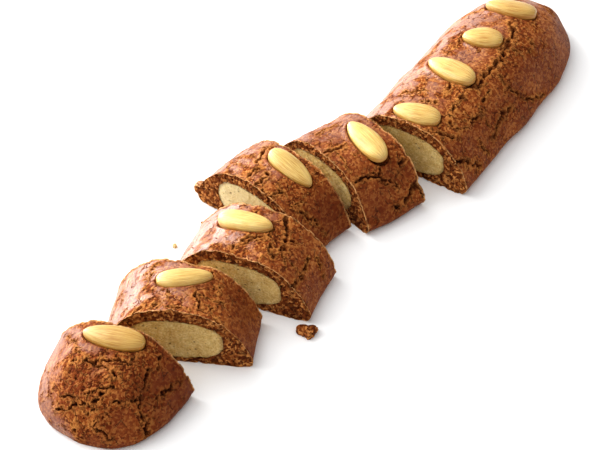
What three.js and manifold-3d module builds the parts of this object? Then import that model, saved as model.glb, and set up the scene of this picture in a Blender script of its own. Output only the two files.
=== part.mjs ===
// A filled speculaas bar, baked in one length and partly cut up for serving: a spiced brown crust
// round a thick band of almond paste, with whole blanched almonds pressed in across the top.
// Millimetres, +Z up. The uncut length lies along +X, four slices follow it and fan out a little,
// and the rounded end piece closes the row at -X. Everything stands on the plane z = 0.

import * as THREE from "three";
import { mergeVertices } from "three/addons/utils/BufferGeometryUtils.js";
import Module from "manifold-3d";

const wasm = await Module();
wasm.setup();

// The bar's section: a low loaf, flat on top, with sloping flanks and a small rounded foot
const HALF_WIDTH = 30;
const HEIGHT = 26.3;
const FOOT_REACH = 3.5;
const FOOT_HEIGHT = 4;
const DOME_FLATNESS = 2.9;
const DOME_FALL = 0.93;

// The band of almond paste, by its middle height above the base
const FILLING_HALF_WIDTH = 18.2;
const FILLING_MIDDLE = 11.6;
const FILLING_RISE = 9.9;
const FILLING_DROP = 9;
const FILLING_SQUARENESS = 2.5;
const FILLING_TIP_CRUST = 10;
const FILLING_TIP_DROP = 1.5;

// Clearance between pieces that touch
const FIT_GAP = 0.3;

// Lumps of the baked surface, coarse and fine
const LUMPS = [
  { size: 15, rise: 0.75 },
  { size: 6.5, rise: 0.4 },
];
// Lumps fade out over this height above the foot, so that the base stays flat
const LUMP_FADE = 6;

// Cracks in the crust are narrow wedges
const CRACK_WIDTH = 1.5;
const CRACK_DEPTH = 1.5;
const CRACK_STEP = 4.4;
const CRACK_WANDER = 1.3;
const CRACK_LIFT = 1;
const CRACK_TIP = 0.25;

// Facets
const RING_STEP = 3.8;
const OUTLINE_STEPS = 24;
const BASE_STEPS = 2;
const FILLING_SIDES = 20;
const FILLING_TIP_RINGS = 6;
// The last ring of a rounded tip stands this far round towards the point
const TIP_TURN = THREE.MathUtils.degToRad(86);

// A blanched almond lies across the bar, half sunk in the dough
const ALMOND_THICKNESS = 6.8;
const ALMOND_SINK = 0.3;
const ALMOND_SIDES = 10;
const ALMOND_RINGS = 7;
const ALMOND_TIP_POWER = 0.58;
const ALMOND_ROUND_POWER = 0.42;

// The middle of the whole row's outline, which the origin is under
const ORIGIN_X = 15.1;
const ORIGIN_Y = -1.8;

// Each piece: the middle of its near cut, its turn in degrees, its size, the slant of its two cuts in
// degrees, its almonds and its main cracks. Places on the crust are [distance along, girth from the
// crown line], and girth counts up to the right when looking along the piece from its near cut.
const PIECES = [
  {
    name: "uncut", x: 52.4, y: -19.9, turn: 0, length: 124.4, halfWidth: 29.9, height: 26.7,
    slants: [-0.9, 0], seed: 1, randomCracks: 8,
    tip: { towards: 1, round: 48.6, widthPower: 2.07, heightPower: 2.25, lowering: 0 },
    almonds: [
      { at: [93.9, -1.6], heading: 72, length: 23, width: 12.4, flip: false },
      { at: [66.7, -1.1], heading: 68, length: 17.8, width: 12, flip: false },
      { at: [40.3, -1.9], heading: 99, length: 24.1, width: 12, flip: false },
      { at: [7.6, 0.1], heading: 78, length: 20.8, width: 11.4, flip: false },
    ],
    cracks: [
      [[85, 4], [74.5, 10], [64.5, 10], [58.5, 12.2], [48, 9.8], [39, 13.4], [33.5, 10]],
      [[52, 16], [52, 23], [57, 32], [70.5, 39]],
      [[47, 30], [40, 29], [34, 30], [28, 32]],
      [[3.7, 14.4], [7.7, 18]],
      [[2, 27.7], [5, 28.3], [9.4, 33.7]],
      [[18.4, -14.7], [21.4, -9], [24, -3]],
    ],
  },
  {
    name: "slice_1", x: 17.7, y: 0.7, turn: -19.5, length: 30.5, halfWidth: 30.1, height: 25.4,
    slants: [2.8, 3.1], seed: 2, randomCracks: 3,
    almonds: [{ at: [19.8, 4.5], heading: 99, length: 26, width: 10.8, flip: false }],
    cracks: [
      [[14.6, 37], [19, 35], [23.7, 36], [25.8, 31.6]],
      [[2.4, 18.3], [12, 20], [20, 24.6]],
      [[21.7, 26.4], [24.7, 29], [27, 32]],
    ],
    notch: { at: [28.5, 32.5], size: [4, 3.2, 2.4] },
  },
  {
    name: "slice_2", x: -14.5, y: 14.5, turn: -8.4, length: 27.8, halfWidth: 30.7, height: 26.1,
    slants: [-0.7, -0.4], seed: 3, randomCracks: 4,
    almonds: [{ at: [19.1, 5], heading: 94, length: 23.8, width: 10.2, flip: true }],
    cracks: [
      [[12, -11], [13, -9], [8.8, -1.7], [2.7, 3.5]],
      [[5.8, 22.8], [13.6, 22.5], [15.3, 26.7]],
    ],
    nub: { at: [2.4, -43.5], size: [3.4, 2.6, 2] },
  },
  {
    name: "slice_3", x: -52.4, y: -4.3, turn: 10.9, length: 30.3, halfWidth: 30.4, height: 26.4,
    slants: [0.6, -1.9], seed: 4, randomCracks: 3,
    almonds: [{ at: [19.4, -4.6], heading: 89, length: 23.5, width: 10.6, flip: true }],
    cracks: [
      [[26, 9.5], [20, 12.8], [13.6, 16]],
      [[12, 0.5], [10, 4], [11, 9]],
      [[19.4, 25.5], [11.6, 25.5], [5.8, 26]],
      [[21.8, 27.7], [21.8, 30.7], [21.4, 33.7]],
    ],
  },
  {
    name: "slice_4", x: -91.3, y: -1.3, turn: 24.1, length: 29, halfWidth: 30.4, height: 26.5,
    slants: [0.5, -6.8], seed: 5, randomCracks: 4,
    almonds: [{ at: [19.8, 0.2], heading: 69, length: 22.2, width: 9.6, flip: true }],
    cracks: [
      [[3, -19], [3.4, -12.5], [4, -8]],
      [[17, 10.7], [14.5, 16.2], [10, 20.7]],
    ],
  },
  {
    name: "end", x: -107.8, y: 11.5, turn: 9.5, length: 38.95, halfWidth: 29.8, height: 27.4,
    slants: [-0.3, 0], seed: 6, randomCracks: 4,
    tip: { towards: -1, round: 38, widthPower: 2.29, heightPower: 2.42, lowering: 1.4 },
    almonds: [{ at: [6.6, -0.1], heading: 98, length: 24.7, width: 10.4, flip: false }],
    cracks: [
      [[19, -11.3], [17.3, -5], [17.6, 4], [14.2, 11.3]],
      [[31, -14], [33.5, -7], [33.5, 0], [32.5, 6]],
      [[35.6, 13], [36.2, 23.4], [36.8, 34]],
      [[14.2, 19.2], [22.7, 23], [26.8, 31.3], [27.8, 40]],
      [[3, 32], [9.5, 30], [15.6, 28], [19, 31]],
    ],
  },
];

const radians = THREE.MathUtils.degToRad;

// A repeatable fraction from whole numbers, for lumps and wandering cracks
function fraction(i, j, k) {
  const wave = Math.sin(i * 127.1 + j * 311.7 + k * 74.7) * 43758.5453;
  return wave - Math.floor(wave);
}

// Smooth noise between -1 and 1
function noise(x, y, z) {
  const cell = [x, y, z].map(Math.floor);
  const part = [x - cell[0], y - cell[1], z - cell[2]].map((t) => t * t * (3 - 2 * t));
  let sum = 0;
  for (let corner = 0; corner < 8; corner += 1) {
    const step = [corner & 1, (corner >> 1) & 1, (corner >> 2) & 1];
    const weight = step.reduce((product, on, axis) => product * (on ? part[axis] : 1 - part[axis]), 1);
    sum += weight * fraction(cell[0] + step[0], cell[1] + step[1], cell[2] + step[2]);
  }
  return sum * 2 - 1;
}

function lumpRise(piece, x, y, z) {
  const shift = piece.seed * 37.7;
  return LUMPS.reduce(
    (sum, lump) => sum + lump.rise * noise((x + shift) / lump.size, y / lump.size, z / lump.size),
    0,
  );
}

// Height of the dome as a share of its full rise, from the share of the half width
function domeShare(widthShare) {
  return Math.max(1 - Math.abs(widthShare) ** DOME_FLATNESS, 0) ** DOME_FALL;
}

// Girth measured from the crown line down the dome, as a table to look the width share up in
const girthTable = [{ girth: 0, share: 0 }];
const TABLE_STEPS = 400;
for (let i = 1; i <= TABLE_STEPS; i += 1) {
  const last = girthTable[i - 1];
  const share = Math.sin((i / TABLE_STEPS) * Math.PI / 2);
  const across = (share - last.share) * HALF_WIDTH;
  const down = (domeShare(share) - domeShare(last.share)) * (HEIGHT - FOOT_HEIGHT);
  girthTable.push({ girth: last.girth + Math.hypot(across, down), share });
}
const DOME_GIRTH = girthTable[TABLE_STEPS].girth;
const FOOT_GIRTH = (Math.PI / 2) * (FOOT_REACH + FOOT_HEIGHT) / 2;
const HALF_GIRTH = DOME_GIRTH + FOOT_GIRTH;

function widthShareAt(girth) {
  let low = 0;
  let high = TABLE_STEPS;
  while (high - low > 1) {
    const middle = (low + high) >> 1;
    if (girthTable[middle].girth > girth) high = middle;
    else low = middle;
  }
  const from = girthTable[low];
  const to = girthTable[high];
  const along = Math.min((girth - from.girth) / (to.girth - from.girth), 1);
  return from.share + (to.share - from.share) * along;
}

// The smooth outline of a section at a girth: across to the right, and up
function outline(girth, halfWidth, height) {
  const side = Math.sign(girth) || 1;
  const far = Math.abs(girth);
  if (far > DOME_GIRTH) {
    const turn = Math.max((HALF_GIRTH - far) / FOOT_GIRTH, 0) * Math.PI / 2;
    const across = halfWidth - FOOT_REACH + FOOT_REACH * Math.sin(turn);
    return { across: side * across, up: FOOT_HEIGHT * (1 - Math.cos(turn)) };
  }
  const share = widthShareAt(far);
  return { across: side * halfWidth * share, up: FOOT_HEIGHT + (height - FOOT_HEIGHT) * domeShare(share) };
}

// Half width and height of a piece's section at a distance along it, falling away at a rounded tip
function sectionSize(piece, along) {
  if (!piece.tip) return { halfWidth: piece.halfWidth, height: piece.height, rounding: 0 };
  const { round, widthPower, heightPower, lowering } = piece.tip;
  const t = THREE.MathUtils.clamp((along - (piece.length - round)) / round, 0, 0.9999);
  const narrow = (1 - t ** widthPower) ** (1 / widthPower);
  const low = (1 - t ** heightPower) ** (1 / heightPower);
  const height = piece.height - (lowering * along) / piece.length;
  return {
    halfWidth: Math.max(piece.halfWidth * narrow, FOOT_REACH + 0.1),
    height: Math.max(height * low, FOOT_HEIGHT + 0.1),
    rounding: t,
  };
}

// How far a point beside the middle line is set on or back by the slant of the piece's cuts
function slantShift(piece, along, across) {
  const [near, far] = piece.slants.map((angle) => Math.tan(radians(angle)));
  const straight = piece.tip ? Math.max(piece.length - piece.tip.round, 1) : piece.length;
  const share = Math.min(along / straight, 1);
  return (near * (1 - share) + far * share) * across;
}

// A piece's own frame: x along it, y to the left, z up. At an end piece x follows its tip.
function place(piece, along, across, up) {
  const direction = piece.tip ? piece.tip.towards : 1;
  return new THREE.Vector3(direction * along + slantShift(piece, along, across), -across, up);
}

// A point of the baked surface, lumps and all
function crustPoint(piece, along, girth) {
  const { halfWidth, height, rounding } = sectionSize(piece, along);
  const at = outline(girth, halfWidth, height);
  const before = outline(Math.max(girth - 0.3, -HALF_GIRTH), halfWidth, height);
  const after = outline(Math.min(girth + 0.3, HALF_GIRTH), halfWidth, height);
  const length = Math.hypot(after.across - before.across, after.up - before.up);
  const inFoot = Math.abs(girth) > DOME_GIRTH;
  const fade = THREE.MathUtils.clamp((at.up - FOOT_HEIGHT) / LUMP_FADE, 0, 1);
  const normalAcross = inFoot ? Math.sign(girth) : -(after.up - before.up) / length;
  const normalUp = inFoot ? 0 : (after.across - before.across) / length;
  const smooth = place(piece, along, at.across, at.up);
  const lump = lumpRise(piece, smooth.x, smooth.y, smooth.z);
  const lift = lump * Math.min(halfWidth / 8, 1);
  const onward = along + lump * rounding ** 2;
  return place(piece, onward, at.across + normalAcross * lift, at.up + normalUp * lift * fade);
}

function crustNormal(piece, along, girth) {
  const reach = 1.5;
  const back = crustPoint(piece, Math.max(along - reach, 0), girth);
  const on = crustPoint(piece, Math.min(along + reach, piece.length), girth);
  const left = crustPoint(piece, along, girth - reach);
  const right = crustPoint(piece, along, girth + reach);
  const normal = right.sub(left).cross(on.sub(back)).normalize();
  const direction = piece.tip ? piece.tip.towards : 1;
  return normal.multiplyScalar(direction);
}

// Joins rings of points, all with the same count, into one closed mesh with a point at each end
function loft(rings, startCentre, endCentre) {
  const count = rings[0].length;
  const points = [startCentre, ...rings.flat(), endCentre];
  const last = points.length - 1;
  const index = [];
  for (let j = 0; j < count; j += 1) {
    const next = (j + 1) % count;
    index.push(0, 1 + next, 1 + j);
    const end = 1 + (rings.length - 1) * count;
    index.push(last, end + j, end + next);
    for (let i = 0; i < rings.length - 1; i += 1) {
      const near = 1 + i * count;
      const far = near + count;
      index.push(near + j, near + next, far + next);
      index.push(near + j, far + next, far + j);
    }
  }
  const geometry = new THREE.BufferGeometry();
  geometry.setAttribute("position", new THREE.Float32BufferAttribute(points.flatMap((p) => p.toArray()), 3));
  geometry.setIndex(index);
  return geometry;
}

// A closed mesh as a solid that can be cut and joined
function solidOf(geometry) {
  const bare = geometry.clone();
  bare.deleteAttribute("normal");
  bare.deleteAttribute("uv");
  const merged = mergeVertices(bare);
  const triVerts = new Uint32Array(merged.index.array);
  const vertProperties = new Float32Array(merged.attributes.position.array);
  return new wasm.Manifold(new wasm.Mesh({ numProp: 3, vertProperties, triVerts }));
}

function geometryOf(solid) {
  const { vertProperties, triVerts } = solid.getMesh();
  const geometry = new THREE.BufferGeometry();
  geometry.setAttribute("position", new THREE.BufferAttribute(vertProperties, 3));
  geometry.setIndex(new THREE.BufferAttribute(triVerts, 1));
  geometry.computeVertexNormals();
  return geometry;
}

// Distances along a body at which it gets a ring: even steps, then closer together into a rounded tip
function ringPlaces(length, round, steps, tipRings) {
  const straight = length - round;
  const places = Array.from({ length: steps + 1 }, (_, i) => (straight * i) / steps);
  for (let i = 1; round && i <= tipRings; i += 1) {
    places.push(straight + round * Math.sin((i / tipRings) * TIP_TURN));
  }
  return places;
}

// Lofts a body along a piece. An end piece that points towards -x is built backwards, so that its
// rings still run towards +x and the faces point out.
function loftAlong(piece, places, ringAt, nearCentre, farCentre) {
  const rings = places.map(ringAt);
  if (piece.tip && piece.tip.towards < 0) {
    return loft(rings.reverse(), farCentre, nearCentre);
  }
  return loft(rings, nearCentre, farCentre);
}

function loafSolid(piece) {
  const ringAt = (along) => {
    const ring = [];
    for (let i = 0; i <= OUTLINE_STEPS; i += 1) {
      ring.push(crustPoint(piece, along, HALF_GIRTH * ((2 * i) / OUTLINE_STEPS - 1)));
    }
    const left = ring[0];
    const right = ring[OUTLINE_STEPS];
    for (let i = 1; i < BASE_STEPS; i += 1) {
      ring.push(right.clone().lerp(left, i / BASE_STEPS));
    }
    return ring;
  };
  const round = piece.tip ? piece.tip.round : 0;
  const steps = Math.max(Math.round((piece.length - round) / RING_STEP), 1);
  const places = ringPlaces(piece.length, round, steps, Math.round(round / RING_STEP));
  const near = place(piece, 0, 0, FILLING_MIDDLE);
  const farUp = piece.tip ? sectionSize(piece, piece.length).height / 2 : FILLING_MIDDLE;
  const far = place(piece, piece.length, 0, farUp);
  return solidOf(loftAlong(piece, places, ringAt, near, far));
}

// The paste, or with a swell the tunnel that it fills. The tunnel runs out past the cuts.
function fillingSolid(piece, swell, overrun) {
  const reach = piece.tip ? piece.length - FILLING_TIP_CRUST : piece.length;
  const round = piece.tip ? Math.min(piece.tip.round, reach - 1) : 0;
  const ringAt = (along) => {
    const t = round ? THREE.MathUtils.clamp((along - (reach - round)) / round, 0, 1) : 0;
    const shrink = Math.sqrt(1 - t ** 2) * (1 - 0.1 * t);
    return Array.from({ length: FILLING_SIDES }, (_, i) => {
      const turn = Math.PI * (1 - (2 * i) / FILLING_SIDES);
      const side = Math.sign(Math.cos(turn)) * Math.abs(Math.cos(turn)) ** (2 / FILLING_SQUARENESS);
      const lift = Math.sign(Math.sin(turn)) * Math.abs(Math.sin(turn)) ** (2 / FILLING_SQUARENESS);
      const half = lift > 0 ? FILLING_RISE : FILLING_DROP;
      const across = side * (FILLING_HALF_WIDTH * shrink + swell);
      const middle = FILLING_MIDDLE - FILLING_TIP_DROP * t ** 2;
      return place(piece, along, across, middle + lift * (half * shrink + swell));
    });
  };
  const places = ringPlaces(reach, round, 1, FILLING_TIP_RINGS);
  places[0] -= overrun;
  if (!piece.tip) places[1] += overrun;
  const near = place(piece, places[0], 0, FILLING_MIDDLE);
  const end = piece.tip ? reach + swell : places[1];
  const far = place(piece, end, 0, piece.tip ? FILLING_MIDDLE - FILLING_TIP_DROP : FILLING_MIDDLE);
  return solidOf(loftAlong(piece, places, ringAt, near, far));
}

// Points along a crack: its waypoints, with steps between them that wander a little to either side
function crackPath(waypoints, seed) {
  const path = [];
  waypoints.slice(1).forEach((to, leg) => {
    const from = waypoints[leg];
    const length = Math.hypot(to[0] - from[0], to[1] - from[1]);
    const steps = Math.max(Math.round(length / CRACK_STEP), 1);
    for (let i = 0; i < steps; i += 1) {
      const share = i / steps;
      const sway = i ? CRACK_WANDER * (fraction(seed, leg, i) - 0.5) : 0;
      const along = from[0] + (to[0] - from[0]) * share - (sway * (to[1] - from[1])) / length;
      const girth = from[1] + (to[1] - from[1]) * share + (sway * (to[0] - from[0])) / length;
      path.push([along, girth]);
    }
  });
  path.push(waypoints[waypoints.length - 1]);
  return path;
}

// Short cracks at places drawn by rule from the piece's seed
function randomCracks(piece) {
  return Array.from({ length: piece.randomCracks }, (_, i) => {
    const draw = (k) => fraction(piece.seed, i + 1, k);
    const along = piece.length * (0.12 + 0.68 * ((i + draw(1)) / piece.randomCracks));
    const girth = 30 * (2 * draw(2) - 1);
    const heading = Math.PI * draw(3);
    const half = 3.5 + 3 * draw(4);
    const stepAlong = half * Math.cos(heading);
    const stepGirth = half * Math.sin(heading);
    return [[along - stepAlong, girth - stepGirth], [along + stepAlong, girth + stepGirth]];
  });
}

function crackSolid(piece, waypoints, seed) {
  const path = crackPath(waypoints, seed).map(([along, girth]) => {
    const safeAlong = THREE.MathUtils.clamp(along, 0.5, piece.length - 0.5);
    return {
      point: crustPoint(piece, safeAlong, girth),
      normal: crustNormal(piece, safeAlong, girth),
    };
  });
  const rings = path.map(({ point, normal }, i) => {
    const before = path[Math.max(i - 1, 0)].point;
    const after = path[Math.min(i + 1, path.length - 1)].point;
    const side = after.clone().sub(before).cross(normal).normalize();
    const open = i === 0 || i === path.length - 1 ? CRACK_TIP : 1;
    const half = (CRACK_WIDTH / 2) * open * (1 + CRACK_LIFT / CRACK_DEPTH);
    const top = point.clone().addScaledVector(normal, CRACK_LIFT);
    const bottom = point.clone().addScaledVector(normal, -CRACK_DEPTH * open);
    return [
      top.clone().addScaledVector(side, -half),
      top.clone().addScaledVector(side, half),
      bottom,
    ];
  });
  const middle = (ring) => ring[0].clone().add(ring[1]).add(ring[2]).divideScalar(3);
  return solidOf(loft(rings, middle(rings[0]), middle(rings[rings.length - 1])));
}

// A rough rounded lump at a place on the crust, to break a corner off or to add a drip of dough
function lumpSolid(piece, { at, size }) {
  const geometry = new THREE.IcosahedronGeometry(1, 1);
  geometry.scale(...size);
  const centre = crustPoint(piece, ...at);
  geometry.translate(centre.x, centre.y, Math.max(centre.z, size[2]));
  return solidOf(geometry);
}

// A blanched almond along its own x axis, from the pointed end to the round one
function almondGeometry(length, width, thickness) {
  const girthAt = (t) => t ** ALMOND_TIP_POWER * (1 - t) ** ALMOND_ROUND_POWER;
  const widest = girthAt(ALMOND_TIP_POWER / (ALMOND_TIP_POWER + ALMOND_ROUND_POWER));
  const rings = Array.from({ length: ALMOND_RINGS }, (_, i) => {
    const t = (1 - Math.cos((Math.PI * (i + 1)) / (ALMOND_RINGS + 1))) / 2;
    const share = girthAt(t) / widest;
    return Array.from({ length: ALMOND_SIDES }, (_, j) => {
      const turn = Math.PI * (1 - (2 * j) / ALMOND_SIDES);
      const across = (share * width * Math.cos(turn)) / 2;
      const up = (share ** 0.8 * thickness * Math.sin(turn)) / 2;
      return new THREE.Vector3(length * (t - 0.5), -across, up);
    });
  });
  return loft(rings, new THREE.Vector3(-length / 2, 0, 0), new THREE.Vector3(length / 2, 0, 0));
}

// Where an almond lies: on the crust, headed as given from the bar's length towards its right side
function almondMatrix(piece, { at, heading, flip }) {
  const [along, girth] = at;
  const normal = crustNormal(piece, along, girth);
  const right = crustPoint(piece, along, girth + 1).sub(crustPoint(piece, along, girth - 1)).normalize();
  const onward = new THREE.Vector3().crossVectors(normal, right);
  const direction = piece.tip ? piece.tip.towards : 1;
  const angle = radians(heading);
  const long = onward.multiplyScalar(direction * Math.cos(angle)).addScaledVector(right, Math.sin(angle));
  if (flip) long.negate();
  const cross = new THREE.Vector3().crossVectors(normal, long);
  const centre = crustPoint(piece, along, girth).addScaledVector(normal, -ALMOND_SINK);
  return new THREE.Matrix4().makeBasis(long, cross, normal).setPosition(centre);
}

const crustFinish = new THREE.MeshStandardMaterial({ color: 0x7d4423, roughness: 0.72, metalness: 0 });
const fillingFinish = new THREE.MeshStandardMaterial({ color: 0xb59a5a, roughness: 0.85, metalness: 0 });
const almondFinish = new THREE.MeshStandardMaterial({ color: 0xf1d48a, roughness: 0.4, metalness: 0 });

const bar = new THREE.Group();
let almondCount = 0;

function addMesh(group, name, solid, finish) {
  const mesh = new THREE.Mesh(geometryOf(solid), finish);
  mesh.name = name;
  group.add(mesh);
}

PIECES.forEach((piece) => {
  const group = new THREE.Group();
  group.position.set(piece.x - ORIGIN_X, piece.y - ORIGIN_Y, 0);
  group.rotation.z = radians(piece.turn);
  bar.add(group);

  let crust = loafSolid(piece).subtract(fillingSolid(piece, FIT_GAP, 2));
  if (piece.notch) crust = crust.subtract(lumpSolid(piece, piece.notch));
  if (piece.nub) crust = crust.add(lumpSolid(piece, piece.nub));
  [...piece.cracks, ...randomCracks(piece)].forEach((waypoints, i) => {
    crust = crust.subtract(crackSolid(piece, waypoints, piece.seed * 100 + i));
  });

  piece.almonds.forEach((almond) => {
    almondCount += 1;
    const matrix = almondMatrix(piece, almond);
    const { length, width } = almond;
    const socket = almondGeometry(length + 2 * FIT_GAP, width + 2 * FIT_GAP, ALMOND_THICKNESS + 2 * FIT_GAP);
    crust = crust.subtract(solidOf(socket.applyMatrix4(matrix)));
    const kernel = almondGeometry(length, width, ALMOND_THICKNESS).applyMatrix4(matrix);
    addMesh(group, `almond_${almondCount}`, solidOf(kernel), almondFinish);
  });

  addMesh(group, `crust_${piece.name}`, crust, crustFinish);
  addMesh(group, `filling_${piece.name}`, fillingSolid(piece, 0, 0), fillingFinish);
});

export default bar;
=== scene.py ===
"""A filled speculaas bar, part of it cut into slices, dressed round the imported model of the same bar."""

import math

import bpy
import numpy as np
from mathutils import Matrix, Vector


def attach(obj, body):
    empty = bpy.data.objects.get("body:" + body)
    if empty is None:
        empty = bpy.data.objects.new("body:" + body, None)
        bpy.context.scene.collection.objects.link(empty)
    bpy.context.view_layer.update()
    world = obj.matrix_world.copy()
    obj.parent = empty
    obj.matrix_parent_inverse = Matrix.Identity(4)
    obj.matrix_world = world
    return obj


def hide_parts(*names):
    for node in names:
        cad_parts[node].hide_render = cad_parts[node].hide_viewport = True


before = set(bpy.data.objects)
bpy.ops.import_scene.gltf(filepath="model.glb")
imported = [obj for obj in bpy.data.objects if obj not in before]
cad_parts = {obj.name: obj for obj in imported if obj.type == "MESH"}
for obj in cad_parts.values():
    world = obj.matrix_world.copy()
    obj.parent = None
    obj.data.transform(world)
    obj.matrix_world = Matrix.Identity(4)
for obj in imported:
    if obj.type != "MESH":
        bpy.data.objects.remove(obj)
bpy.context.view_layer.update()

# The crust
# Soft brown spiced dough, wrapped round the filling, glazed and baked in one length. It crackles as it
# bakes, and the knife leaves a crumbly dark face. The pale line along the cut edge of the skin is a painted
# highlight, and the near-black in its cracks, pits and holes is painted shade.
MM = 0.001
HALF_WIDTH = 30.0
HEIGHT = 26.3
FOOT_REACH = 3.5
FOOT_HEIGHT = 4.0
DOME_FLATNESS = 2.9
DOME_FALL = 0.93
LUMPS = ((15.0, 0.75), (6.5, 0.4))
LUMP_FADE = 6.0
CRACK_STEP = 4.4
CRACK_WANDER = 1.3
TIP_TURN = math.radians(86)
ORIGIN = np.array([15.1, -1.8])

FILLING_HALF_WIDTH = 18.2
FILLING_MIDDLE = 11.6
FILLING_RISE = 9.9
FILLING_DROP = 9.0
FILLING_SQUARENESS = 2.5
FILLING_TIP_CRUST = 10.0
FILLING_TIP_DROP = 1.5
FIT_GAP = 0.3

SKIN_STEP = 0.34
LONG_SKIN_STEP = 0.47
BASE_STEP = 0.75
CUT_STEP = 0.4
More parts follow.
